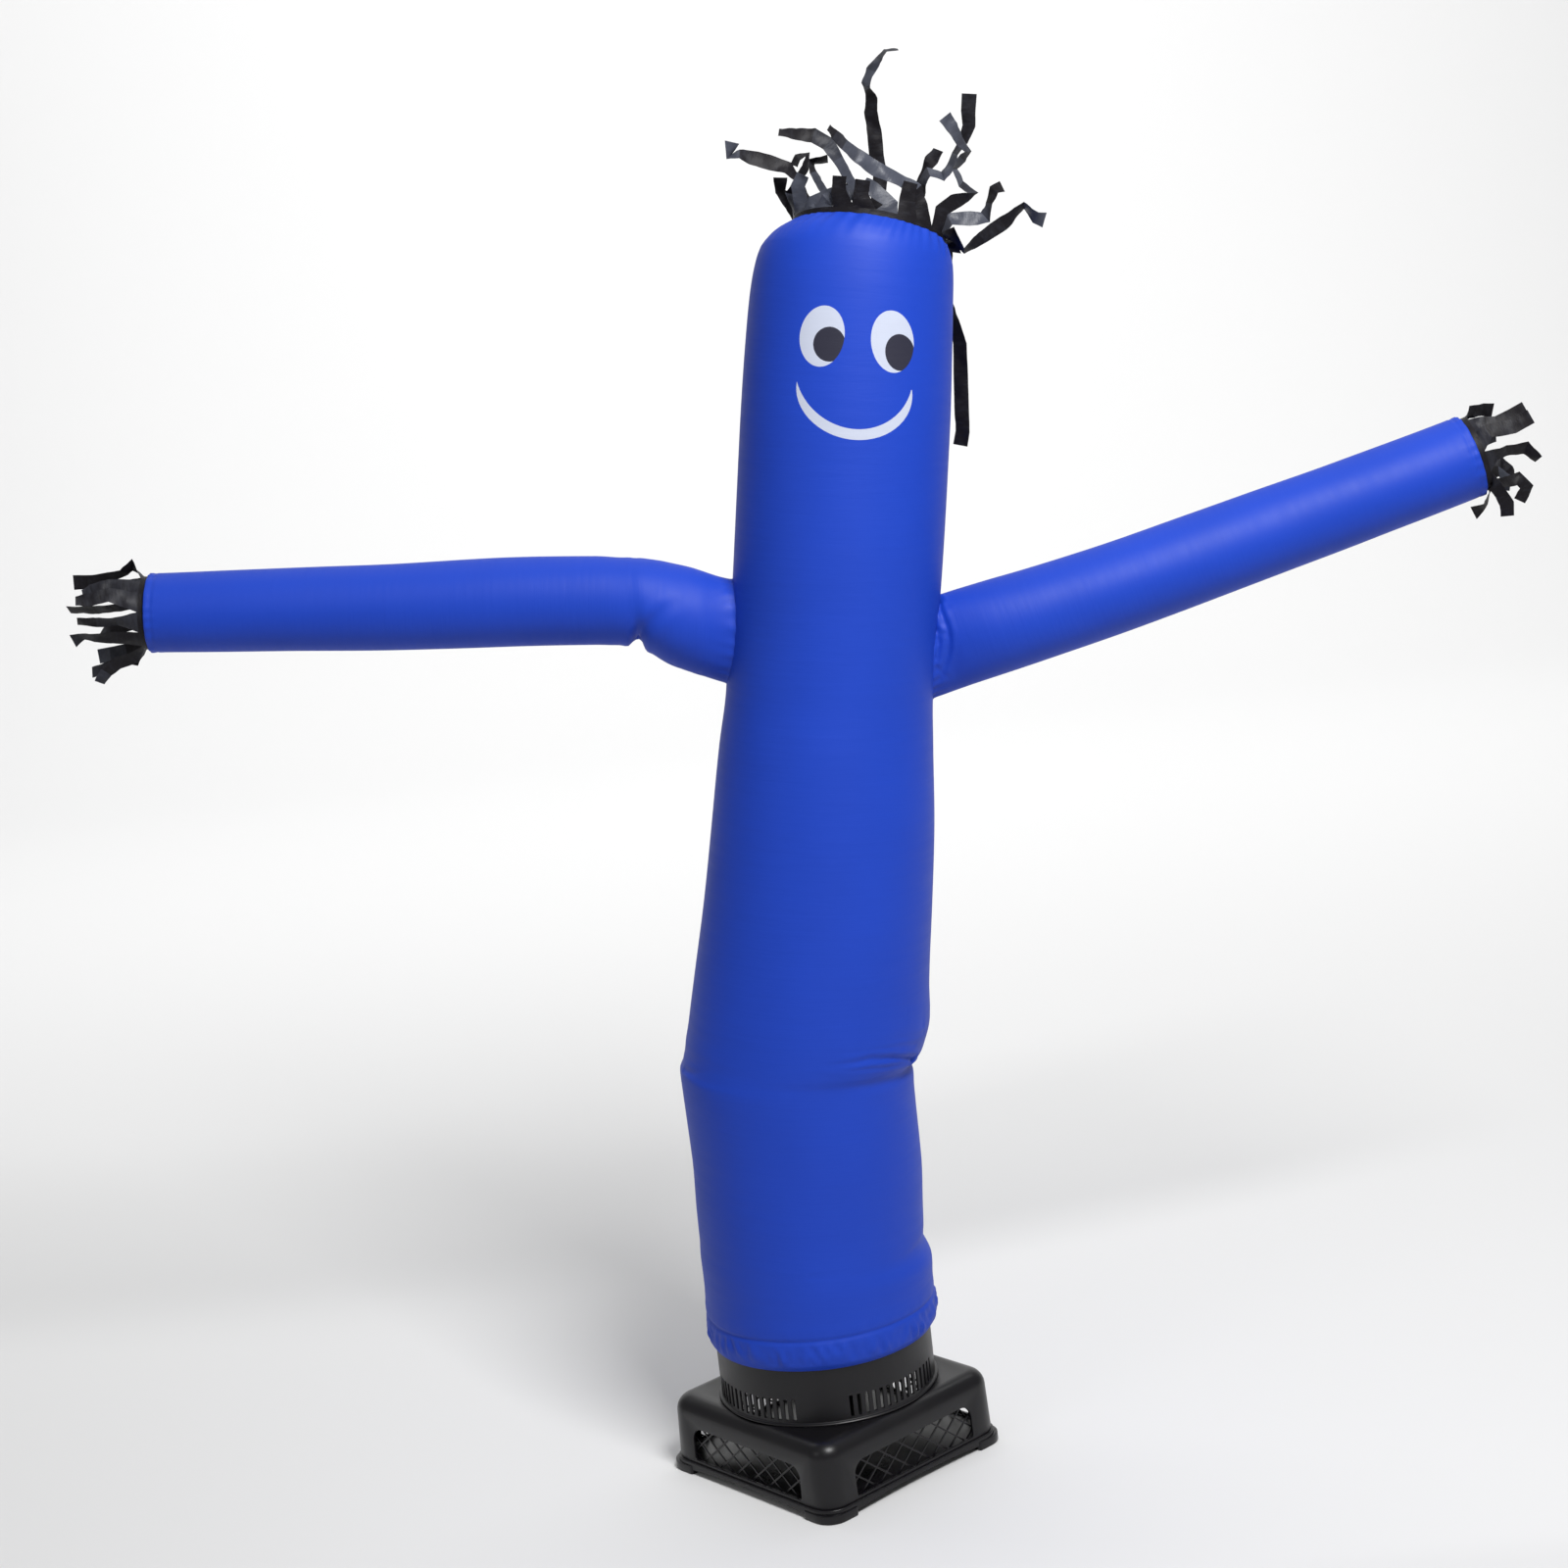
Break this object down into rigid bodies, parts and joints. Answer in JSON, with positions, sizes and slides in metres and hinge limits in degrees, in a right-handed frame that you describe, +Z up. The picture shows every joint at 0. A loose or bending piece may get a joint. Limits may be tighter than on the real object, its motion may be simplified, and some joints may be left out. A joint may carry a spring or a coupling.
{
  "type": "inflatable air dancer with square air blower base",
  "caption": "Inflated nylon tube figure with two arms, open head and fringed hands, clamped on the round outlet of a square plastic air blower.",
  "frame": {"origin": "on the floor, midway between the fringe tips of the two hands, 93 mm to the right of the blower outlet's axis", "axes": "+Z up; -Y is the front, which the printed face looks along; the arms reach along -X and +X"},
  "size_m": [2.0221, 0.4618, 1.9368],
  "materials": {
    "black_plastic": "satin",
    "blue_nylon": "satin",
    "black_satin": "satin"
  },
  "bodies": {
    "root": {"blower_base": "black_plastic", "blower_housing": "black_plastic", "blower_collar": "black_plastic", "grille_front_left": "black_plastic", "grille_front_right": "black_plastic", "grille_back_right": "black_plastic", "grille_back_left": "black_plastic", "dancer_body": "blue_nylon", "arm_left": "blue_nylon", "arm_right": "blue_nylon", "hair_fringe": "black_satin", "hand_fringe_left": "black_satin", "hand_fringe_right": "black_satin"}
  },
  "joints": []
}
